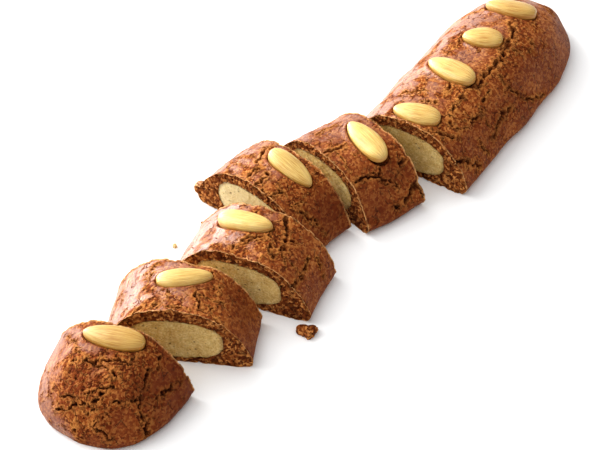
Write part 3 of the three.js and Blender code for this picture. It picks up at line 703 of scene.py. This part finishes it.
    # The tunnel wall is drawn half dark: painted shade
    plain = dict(dark=blank + 0.5, pale=blank, broken=blank + 1, glaze=blank, bake=blank)
    plain.update(crumb=blank + 1, rim=blank)
    groups = [group or plain for group in groups]
    grid = np.concatenate(blocks, axis=0)
    values = {k: np.concatenate([group[k] for group in groups], axis=0).ravel() for k in plain}
    rows, ring = grid.shape[:2]
    faces = grid_faces(rows, ring, "tip" not in piece)
    points = grid.reshape(-1, 3)
    if "tip" in piece:
        inner_tip = place(piece, reach + 0.1, 0.0, FILLING_MIDDLE - FILLING_TIP_DROP)
        outer_tip = place(piece, length, 0.0, section_size(piece, length)[1] / 2)
        points = np.vstack([points, inner_tip, outer_tip])
        faces += cap_faces(rows, ring)
        values = {k: np.concatenate([v, v[:1], v[-1:]]) for k, v in values.items()}
    crust = add_mesh("baked_" + piece["name"], piece, points, faces, values, material)
    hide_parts("crust_" + piece["name"])


def linear(red, green, blue):
    """Screen colour from 0 to 255 as the linear colour that shaders take"""
    share = np.array([red, green, blue]) / 255
    value = np.where(share <= 0.04045, share / 12.92, ((share + 0.055) / 1.055) ** 2.4)
    return (*value.tolist(), 1.0)


def new_material(name):
    material = bpy.data.materials.new(name)
    material.use_nodes = True
    tree = material.node_tree
    return material, tree, tree.nodes["Principled BSDF"]


def add_node(tree, kind, settings=None, **inputs):
    node = tree.nodes.new(kind)
    for label, value in (settings or {}).items():
        setattr(node, label, value)
    for label, value in inputs.items():
        socket = node.inputs[label.replace("_", " ")]
        if isinstance(value, bpy.types.NodeSocket):
            tree.links.new(value, socket)
        else:
            socket.default_value = value
    return node


def attribute(tree, label):
    return add_node(tree, "ShaderNodeAttribute", dict(attribute_name=label)).outputs["Fac"]


def grain(tree, size, detail=3.0, roughness=0.55, distortion=0.0):
    """Noise of a size in millimetres, fixed to the object"""
    place_node = add_node(tree, "ShaderNodeTexCoord")
    texture = add_node(
        tree, "ShaderNodeTexNoise", Vector=place_node.outputs["Object"], Scale=1 / (size * MM),
        Detail=detail, Roughness=roughness, Distortion=distortion,
    )
    return texture.outputs["Fac"]


def ramp(tree, value, stops):
    node = add_node(tree, "ShaderNodeValToRGB", Fac=value)
    points = node.color_ramp.elements
    while len(points) < len(stops):
        points.new(0.5)
    for point, (where, colour) in zip(points, stops):
        point.position = where
        point.color = colour
    return node.outputs["Color"]


def mix(tree, share, first, second, blend="MIX"):
    node = add_node(tree, "ShaderNodeMix", dict(data_type="RGBA", blend_type=blend))
    for socket, value in ((node.inputs[0], share), (node.inputs[6], first), (node.inputs[7], second)):
        if isinstance(value, bpy.types.NodeSocket):
            tree.links.new(value, socket)
        else:
            socket.default_value = value
    return node.outputs[2]


def bump(tree, height, distance, normal=None):
    node = add_node(tree, "ShaderNodeBump", Height=height, Distance=distance * MM)
    if normal is not None:
        tree.links.new(normal, node.inputs["Normal"])
    return node.outputs["Normal"]


def span(tree, value, low, high, at_low=0.0, at_high=1.0):
    """A value carried from one range to another, and held at its ends"""
    ranges = dict(From_Min=low, From_Max=high, To_Min=at_low, To_Max=at_high)
    return add_node(tree, "ShaderNodeMapRange", Value=value, **ranges).outputs["Result"]


def arithmetic(tree, operation, first, second):
    node = add_node(tree, "ShaderNodeMath", dict(operation=operation))
    for socket, value in zip(node.inputs, (first, second)):
        if isinstance(value, bpy.types.NodeSocket):
            tree.links.new(value, socket)
        else:
            socket.default_value = value
    return node.outputs[0]


def jagged_place(tree, size, reach):
    """The place on the object, pushed about by noise of a size so that borders drawn there are jagged"""
    here = add_node(tree, "ShaderNodeTexCoord").outputs["Object"]
    push = add_node(tree, "ShaderNodeTexNoise", Vector=here, Scale=1 / (size * MM), Detail=3.0)
    moved = add_node(tree, "ShaderNodeVectorMath", dict(operation="MULTIPLY_ADD"))
    tree.links.new(push.outputs["Color"], moved.inputs[0])
    moved.inputs[1].default_value = (2 * reach * MM,) * 3
    tree.links.new(here, moved.inputs[2])
    return moved.outputs[0]


def hairline(tree, where, size, width):
    """Fine cracks along the borders between cells of a size in millimetres"""
    borders = add_node(
        tree, "ShaderNodeTexVoronoi", dict(feature="DISTANCE_TO_EDGE"), Vector=where, Scale=1 / (size * MM),
    )
    return span(tree, borders.outputs["Distance"], 0.0, width / size, 1.0, 0.0)


def speckle(tree, where, size):
    """Crumbs of a size in millimetres: a draw for each one, and how far its middle is"""
    crumbs = add_node(tree, "ShaderNodeTexVoronoi", dict(feature="F1"), Vector=where, Scale=1 / (size * MM))
    draws = add_node(tree, "ShaderNodeSeparateColor", Color=crumbs.outputs["Color"])
    return draws.outputs[0], crumbs.outputs["Distance"]


def crust_material():
    material, tree, shader = new_material("baked spiced crust")
    where = jagged_place(tree, 1.6, 0.8)
    broken = attribute(tree, "broken")
    broad = ramp(tree, grain(tree, 6, 4, 0.6), (
        (0.32, linear(136, 65, 24)), (0.5, linear(155, 83, 36)), (0.68, linear(176, 105, 52)),
    ))
    draw, middle = speckle(tree, where, 0.9)
    fine = ramp(tree, draw, (
        (0.1, linear(112, 50, 18)), (0.5, linear(157, 86, 37)), (0.92, linear(214, 146, 80)),
    ))
    skin = mix(tree, span(tree, broken, 0, 1, 0.55, 0.8), broad, fine)
    # Painted highlight on the crack lips and the nub
    skin = mix(tree, span(tree, attribute(tree, "pale"), 0, 1, 0, 0.5), skin, linear(216, 150, 80))
    # A darker bake, with painted shade on the right flanks
    skin = mix(tree, span(tree, attribute(tree, "bake"), 0, 1, 0, 0.7), skin, linear(92, 35, 13))
    crumb_draw, _ = speckle(tree, where, 1.1)
    crumb = ramp(tree, crumb_draw, (
        (0.1, linear(104, 50, 20)), (0.55, linear(148, 84, 38)), (0.95, linear(212, 146, 84)),
    ))
    colour = mix(tree, attribute(tree, "crumb"), skin, crumb)

    def patches(size, low, high, more_where_broken):
        more = span(tree, broken, 0, 1, 0, more_where_broken)
        return span(tree, arithmetic(tree, "ADD", grain(tree, size, 2, 0.5), more), low, high)

    long_hair = arithmetic(tree, "MULTIPLY", hairline(tree, where, 5.5, 0.3), patches(4, 0.54, 0.64, 0.12))
    short_patches = patches(2.2, 0.6, 0.68, 0.1)
    short_hair = arithmetic(tree, "MULTIPLY", hairline(tree, where, 2.3, 0.26), short_patches)
    pit_draw, pit_middle = speckle(tree, where, 1.5)
    pit_hole = span(tree, pit_middle, 0.22, 0.4, 1, 0)
    pit = arithmetic(tree, "MULTIPLY", pit_hole, span(tree, pit_draw, 0.72, 0.78))
    pit = arithmetic(tree, "MULTIPLY", pit, span(tree, broken, 0.15, 0.5))
    hair = arithmetic(tree, "MAXIMUM", arithmetic(tree, "MAXIMUM", long_hair, short_hair), pit)
    faint_hair = arithmetic(tree, "MULTIPLY", hair, 0.62)
    dark = arithmetic(tree, "MAXIMUM", faint_hair, attribute(tree, "dark"))
    # Cracks, hairlines, pits, holes and the notch are darkened almost to black: painted shade in the hollows
    colour = mix(tree, span(tree, dark, 0, 1, 0, 0.8), colour, linear(56, 18, 4))
    # Painted highlight along the cut edge of the skin
    colour = mix(tree, span(tree, attribute(tree, "rim"), 0, 1, 0, 0.85), colour, linear(246, 190, 128))
    tree.links.new(colour, shader.inputs["Base Color"])
    tree.links.new(span(tree, broken, 0, 0.6, 0.5, 0.85), shader.inputs["Roughness"])
    shader.inputs["Specular IOR Level"].default_value = 0.12
    glaze = arithmetic(tree, "MULTIPLY", attribute(tree, "glaze"), span(tree, dark, 0, 0.3, 1, 0))
    tree.links.new(glaze, shader.inputs["Coat Weight"])
    shader.inputs["Coat Roughness"].default_value = 0.4
    shader.inputs["Coat IOR"].default_value = 1.85
    dome = arithmetic(tree, "MULTIPLY", span(tree, middle, 0, 1, 1, 0), span(tree, broken, 0, 1, 0.25, 0.9))
    height = arithmetic(tree, "SUBTRACT", dome, hair)
    normal = bump(tree, grain(tree, 0.5, 4, 0.75), 0.22, bump(tree, height, 0.45))
    tree.links.new(normal, shader.inputs["Normal"])
    tree.links.new(bump(tree, grain(tree, 0.8, 3, 0.75), 0.3), shader.inputs["Coat Normal"])
    return material


crust_finish = crust_material()
for piece in PIECES:
    build_crust(piece, crust_finish)

# The filling
# A thick band of almond paste: ground almonds and sugar, fine grained and pale yellow, darker where it
# has baked against the dough. It runs through every piece and shows at each cut.
PASTE_SIDES = 160
PASTE_OVERLAP = 0.14
PASTE_RIND = 0.55


def build_filling(piece, material):
    """One length of paste, from its near cut to its far cut or its blunt tip inside the round end"""
    angles = np.linspace(math.pi, -math.pi, PASTE_SIDES, endpoint=False)
    reach = piece["length"] - FILLING_TIP_CRUST if "tip" in piece else piece["length"]
    overlap = FIT_GAP + PASTE_OVERLAP
    # Painted light: a paler paste on the slice that the window lights
    blond = piece.get("blond_paste", 0.0)

    def face(cut_at, sign):
        across, up = tunnel_outline(piece, angles, cut_at + 0 * angles, overlap)
        w = np.linspace(0.03, 1, 34)[:, None]
        face_across = across * w
        face_up = FILLING_MIDDLE + (up - FILLING_MIDDLE) * w
        spot = np.stack([0 * face_up + cut_at * 3, face_across, face_up], axis=-1) + piece["seed"] * 7.7
        _, near, draw = cells(spot / 1.7, 31)
        _, lump_near, lump_draw = cells((spot + 0.6 * noise_steps(spot, 1.5, 2)) / 3.4, 32)
        pits = 0.5 * np.clip(1 - near / 0.3, 0, 1) ** 0.6 * smooth_step(0.8, 0.95, draw)
        rind = smooth_step(0.9, 1.0, w + 0.03 * noise(spot / 1.3))
        back = 0.1 + 0.12 * noise(spot / 2.0) + 0.14 * noise(spot / 0.8) + pits
        back = back + 0.25 * lump_near * lump_draw + 0.2 * rind * np.abs(noise(spot / 0.9))
        points = place(piece, cut_at + 0 * face_up, face_across, face_up)
        points[..., 0] += sign * direction_of(piece) * back
        # Painted shade in the pits of the cut paste
        depth = np.clip(pits / 0.35, 0, 1)
        return points, dict(depth=depth, rind=rind + 0 * back, blond=blond + 0 * back)

    near_points, near_values = face(0.0, 1)
    blocks = [near_points]
    groups = [near_values]
    if "tip" in piece:
        inside = ring_places(reach, min(piece["tip"]["round"], reach - 1), 3.0)[1:]
        across, up = tunnel_outline(piece, angles[None, :], inside[:, None], -0.3)
        blocks.append(place(piece, inside[:, None], across, up))
        far_tip = place(piece, reach, 0.0, FILLING_MIDDLE - FILLING_TIP_DROP)
        groups.append(dict(depth=0 * up, rind=1 + 0 * up, blond=blond + 0 * up))
    else:
        far_points, far_values = face(piece["length"], -1)
        blocks.append(far_points[::-1])
        groups.append({k: v[::-1] for k, v in far_values.items()})
        far_tip = place(piece, piece["length"] - 0.1, 0.0, FILLING_MIDDLE)
    grid = np.concatenate(blocks, axis=0)
    count = len(angles)
    values = {k: np.concatenate([group[k] for group in groups], axis=0).ravel() for k in near_values}
    values = {k: np.concatenate([v, v[:1], v[-1:]]) for k, v in values.items()}
    points = np.vstack([grid.reshape(-1, 3), place(piece, 0.1, 0.0, FILLING_MIDDLE), far_tip])
    faces = grid_faces(grid.shape[0], count, False) + cap_faces(grid.shape[0], count)
    paste = add_mesh("paste_" + piece["name"], piece, points, faces, values, material)
    paste.data.set_sharp_from_angle(angle=math.radians(60))
    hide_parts("filling_" + piece["name"])


def filling_material():
    material, tree, shader = new_material("almond paste")
    broad = ramp(tree, grain(tree, 4, 3, 0.55), (
        (0.3, linear(190, 150, 78)), (0.5, linear(208, 174, 104)), (0.7, linear(220, 196, 134)),
    ))
    draw, middle = speckle(tree, jagged_place(tree, 1.2, 0.5), 0.6)
    fine = ramp(tree, draw, (
        (0.05, linear(160, 122, 62)), (0.5, linear(208, 174, 104)), (0.95, linear(240, 222, 170)),
    ))
    colour = mix(tree, 0.33, broad, fine)
    # Painted light on one slice's paste
    colour = mix(tree, attribute(tree, "blond"), colour, linear(240, 226, 180))
    specks = ramp(tree, grain(tree, 0.55, 1, 0.4), ((0.24, (1, 1, 1, 1)), (0.29, (0, 0, 0, 1))))
    colour = mix(tree, specks, colour, linear(118, 78, 38))
    # Painted shade in the pits
    colour = mix(tree, attribute(tree, "depth"), colour, linear(112, 76, 36))
    rind = arithmetic(tree, "MULTIPLY", attribute(tree, "rind"), PASTE_RIND)
    colour = mix(tree, rind, colour, linear(134, 92, 44))
    tree.links.new(colour, shader.inputs["Base Color"])
    shader.inputs["Roughness"].default_value = 0.6
    shader.inputs["Subsurface Weight"].default_value = 0.3
    shader.inputs["Subsurface Radius"].default_value = (1.0, 0.75, 0.35)
    shader.inputs["Subsurface Scale"].default_value = 0.0012
    rough = bump(tree, grain(tree, 0.5, 4, 0.7), 0.15, bump(tree, span(tree, middle, 0, 1, 1, 0), 0.25))
    tree.links.new(rough, shader.inputs["Normal"])
    return material


filling_finish = filling_material()
for piece in PIECES:
    build_filling(piece, filling_finish)

# The almonds
# Whole blanched almonds, pressed across the bar before baking. They are smooth and ivory yellow with
# faint lengthwise veins, some toasted deeper than others, and shine from the glaze. Each is drawn deeper
# orange towards its right-hand side, which is painted shade.
ALMOND_RINGS = 60
ALMOND_SIDES = 72
# How toasted each almond is, from the first on the uncut length to the one on the end piece
TOASTING = (0.7, 0.5, 0.3, 0.35, 0.1, 0.4, 0.1, 0.3, 0.9)


def build_almond(piece, almond, number, material):
    """One almond lying in its bed: a pointed oval with a flattened top and slightly uneven sides"""
    centre, long, cross, normal = almond_axes(piece, almond)
    centre = centre - ALMOND_SINK * normal
    t = ((1 - np.cos(np.linspace(0.06, math.pi - 0.06, ALMOND_RINGS))) / 2)[:, None]
    turn = np.linspace(math.pi, -math.pi, ALMOND_SIDES, endpoint=False)[None, :]
    share = almond_girth(t)
    spot = np.stack([t * 3 + 0 * turn, np.cos(turn) + 0 * t, np.sin(turn) + 0 * t], axis=-1) + number * 4.1
    uneven = 1 + 0.05 * noise(spot * 0.9) + 0.012 * noise(spot * np.array([0.6, 7, 7]))
    side_share = np.sign(np.cos(turn)) * np.abs(np.cos(turn)) ** 0.85
    up_share = np.sign(np.sin(turn)) * np.abs(np.sin(turn)) ** 0.65
    across = share * almond["width"] / 2 * side_share * uneven
    up = share**0.6 * ALMOND_THICKNESS / 2 * up_share * uneven
    bend = 0.5 * (fraction(number, 1, 1) - 0.5) * np.sin(math.pi * t)
    along = almond["length"] * (t - 0.5)
    points = (
        centre + along[..., None] * long + (across + bend)[..., None] * -cross + up[..., None] * normal
    )
    ends = [centre - almond["length"] / 2 * long, centre + almond["length"] / 2 * long]
    rows, count = across.shape
    grid = np.vstack([points.reshape(-1, 3), *ends])
    faces = grid_faces(rows, count, False) + cap_faces(rows, count)
    lengthwise = np.concatenate([(t + 0 * turn).ravel(), [0, 1]])
    round_about = np.concatenate([(turn + 0 * t).ravel() / math.pi, [0, 0]])
    height = np.concatenate([(up / ALMOND_THICKNESS * 2 + 0 * turn).ravel(), [0, 0]])
    values = dict(lengthwise=lengthwise, roundabout=round_about, height=height)
    # Painted shade: each almond grows deeper orange towards its right-hand side, on top of its own toasting
    shade_to_right = np.concatenate([((centre[1] - points[..., 1]) / almond["length"] * 2).ravel(), [0, 0]])
    values["toast_and_shade"] = np.clip(TOASTING[number - 1] + 0.3 * shade_to_right, 0, 1)
    kernel = add_mesh(f"kernel_{number}", piece, grid, faces, values, material)
    if direction_of(piece) < 0:
        kernel.data.flip_normals()
    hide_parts(f"almond_{number}")


def almond_material():
    material, tree, shader = new_material("blanched almond")
    lengthwise = attribute(tree, "lengthwise")
    around = attribute(tree, "roundabout")
    strand = add_node(tree, "ShaderNodeCombineXYZ", X=lengthwise, Y=around)
    veins = add_node(
        tree, "ShaderNodeMapping", dict(vector_type="POINT"), Vector=strand.outputs[0], Scale=(1.4, 22, 1),
    )
    vein = add_node(tree, "ShaderNodeTexNoise", Vector=veins.outputs[0], Scale=2.0, Detail=4.0)
    pale = ramp(tree, grain(tree, 5, 3, 0.5), (
        (0.3, linear(234, 208, 136)), (0.5, linear(226, 193, 108)), (0.7, linear(216, 174, 84)),
    ))
    veined = ramp(tree, vein.outputs["Fac"], ((0.38, linear(168, 104, 36)), (0.56, linear(236, 208, 130))))
    # Toasting plus painted shade to the right: more veining and a deeper orange
    streaks = span(tree, attribute(tree, "toast_and_shade"), 0, 1, 0.4, 0.85)
    colour = mix(tree, streaks, pale, veined)
    colour = mix(tree, span(tree, attribute(tree, "toast_and_shade"), 0.1, 1, 0, 0.65), colour, linear(170, 122, 34))
    foot = span(tree, attribute(tree, "height"), 0.05, 0.3, 0.4, 0)
    colour = mix(tree, foot, colour, linear(180, 104, 40))
    tree.links.new(colour, shader.inputs["Base Color"])
    shader.inputs["Roughness"].default_value = 0.38
    shader.inputs["Subsurface Weight"].default_value = 0.25
    shader.inputs["Subsurface Radius"].default_value = (1.0, 0.7, 0.3)
    shader.inputs["Subsurface Scale"].default_value = 0.0015
    shader.inputs["Coat Weight"].default_value = 0.3
    shader.inputs["Coat Roughness"].default_value = 0.25
    tree.links.new(bump(tree, vein.outputs["Fac"], 0.16), shader.inputs["Normal"])
    return material


almond_finish = almond_material()
almond_number = 0
for piece in PIECES:
    for almond in piece["almonds"]:
        almond_number += 1
        build_almond(piece, almond, almond_number, almond_finish)

# The crumbs
# Bits of the dough and the paste that broke off under the knife and lie on the table beside the slices.
CRUMB_RINGS = 40
CRUMB_SIDES = 60
CRUMBS = (
    dict(
        at=(-66.6, -34.9), width=2.3, height=1.9, seed=1, slot="crust",
        corners=((-0.1, 1.0, 0.0, 2.8), (-0.7, -0.7, 0.0, 1.3), (0.9, -0.5, 0.1, 1.6), (0.4, -0.6, 0.9, 0.8)),
    ),
    dict(at=(-53.9, 38.1), width=0.9, height=0.7, seed=2, slot="filling", corners=((0.5, 0.8, 0.0, 0.5),)),
    dict(at=(-36.0, 36.9), width=0.45, height=0.4, seed=3, slot="crust", corners=((1.0, 0.1, 0.0, 0.2),)),
)


def build_crumb(number, crumb, material):
    """A rough lump with corners, each a direction and how far it sticks out, resting flat on the table"""
    up_angle = np.linspace(-1.45, 1.45, CRUMB_RINGS)[:, None]
    turn = np.linspace(0, 2 * math.pi, CRUMB_SIDES, endpoint=False)[None, :]
    x, y, z = np.cos(up_angle) * np.cos(turn), np.cos(up_angle) * np.sin(turn), np.sin(up_angle) + 0 * turn
    way = np.stack([x, y, z], axis=-1)
    uneven = 0.25 * noise(way * 2.1 + crumb["seed"]) + 0.15 * noise(way * 5 + crumb["seed"])
    reach = crumb["width"] * (1 + uneven)
    for *corner, length in crumb["corners"]:
        facing = way @ (np.array(corner) / np.linalg.norm(corner))
        reach = reach + length * np.clip(facing, 0, 1) ** 3
    points = way * reach[..., None]
    points[..., 2] = np.maximum(points[..., 2] + crumb["height"] * 0.6, 0)
    rows, count = reach.shape
    poles = [(0, 0, 0), (0, 0, float(points[-1, :, 2].mean()))]
    grid = np.vstack([points.reshape(-1, 3), poles])
    faces = grid_faces(rows, count, False) + cap_faces(rows, count)
    full = np.ones(len(grid))
    _, near, _ = cells(grid / 0.9 + crumb["seed"] * 5, 41)
    # Painted shade between the grains of each crumb
    values = dict(dark=np.clip(0.6 * (near - 0.7), 0, 1), pale=0 * full, broken=full, glaze=0 * full)
    # The paste crumb is drawn paler: painted light
    values.update(bake=0 * full, crumb=full, rim=0 * full, depth=0 * full, rind=0 * full, blond=0.4 * full)
    spot = dict(x=crumb["at"][0] + ORIGIN[0], y=crumb["at"][1] + ORIGIN[1], turn=0.0)
    lump = add_mesh(f"crumb_{number}", spot, grid, faces, values, material)


for crumb_number, crumb in enumerate(CRUMBS, 1):
    build_crumb(crumb_number, crumb, dict(crust=crust_finish, filling=filling_finish)[crumb["slot"]])

# The table top
# A plain white surface under the bar, wide enough that its edges stay out of the picture. It isn't part
# of the bar, so it goes to the stage.
table_mesh = bpy.data.meshes.new("table_top")
HALF_TABLE = 3.0
corners = [(-HALF_TABLE, -HALF_TABLE, 0), (HALF_TABLE, -HALF_TABLE, 0)]
corners += [(HALF_TABLE, HALF_TABLE, 0), (-HALF_TABLE, HALF_TABLE, 0)]
table_mesh.from_pydata(corners, [], [(0, 1, 2, 3)])
table_top = bpy.data.objects.new("table_top", table_mesh)
bpy.context.scene.collection.objects.link(table_top)
table_finish, _, table_shader = new_material("white table")
table_shader.inputs["Base Color"].default_value = (0.93, 0.93, 0.93, 1)
table_shader.inputs["Roughness"].default_value = 0.7
table_mesh.materials.append(table_finish)

# The camera
# It looks down on the row from the side of the end piece, as the photograph does, through a long lens.
VIEW_TURN = math.radians(57.5)
VIEW_PITCH = math.radians(43.1)
VIEW_DISTANCE = 915 * MM
VIEW_LENS = 132.0
heading = Vector((math.sin(VIEW_TURN), math.cos(VIEW_TURN), 0))
sideways = Vector((heading.y, -heading.x, 0))
target = Vector((-ORIGIN[0] * MM, -ORIGIN[1] * MM, 0))
look = heading * math.cos(VIEW_PITCH) + Vector((0, 0, -math.sin(VIEW_PITCH)))
lens = bpy.data.cameras.new("camera")
lens.lens = VIEW_LENS
lens.sensor_width = 36.0
lens.clip_start = 0.01
camera = bpy.data.objects.new("camera", lens)
camera.location = target - look * VIEW_DISTANCE
camera.rotation_euler = look.to_track_quat("-Z", "Y").to_euler()
bpy.context.scene.collection.objects.link(camera)
bpy.context.scene.camera = camera

# The light
# A bright room, with one large soft window at the left and another further back that lights the left
# flanks from behind, so shadows stay faint and fall to the right.
BRIGHT_SIDE = (-0.3, 0.6, 0.74)
ROOM_DIM = 0.35
ROOM_BRIGHT = 1.0
WINDOW = dict(left=0.95, back=0.42, up=0.8, size=1.3, power=17)
BACK_WINDOW = dict(left=1.05, back=1.1, up=0.3, size=1.0, power=28)
world = bpy.data.worlds.new("bright room")
world.use_nodes = True
around = add_node(world.node_tree, "ShaderNodeTexCoord").outputs["Generated"]
toward = add_node(world.node_tree, "ShaderNodeVectorMath", dict(operation="DOT_PRODUCT"))
world.node_tree.links.new(around, toward.inputs[0])
toward.inputs[1].default_value = BRIGHT_SIDE
room = world.node_tree.nodes["Background"]
room.inputs["Color"].default_value = (1, 1, 1, 1)
brightness = span(world.node_tree, toward.outputs["Value"], -0.5, 0.9, ROOM_DIM, ROOM_BRIGHT)
world.node_tree.links.new(brightness, room.inputs["Strength"])
bpy.context.scene.world = world
bpy.context.scene.view_settings.view_transform = "Standard"
bpy.context.scene.view_settings.look = "Medium High Contrast"


def add_window(name, window):
    """A square lamp at a distance to the left of the bar, behind it and above it, turned towards it"""
    position = target - sideways * window["left"] + heading * window["back"] + Vector((0, 0, window["up"]))
    lamp = bpy.data.lights.new(name, "AREA")
    lamp.shape = "SQUARE"
    lamp.size = window["size"]
    lamp.energy = window["power"]
    thing = bpy.data.objects.new(name, lamp)
    thing.location = position
    thing.rotation_euler = (target - position).to_track_quat("-Z", "Y").to_euler()
    bpy.context.scene.collection.objects.link(thing)


add_window("window", WINDOW)
add_window("back_window", BACK_WINDOW)
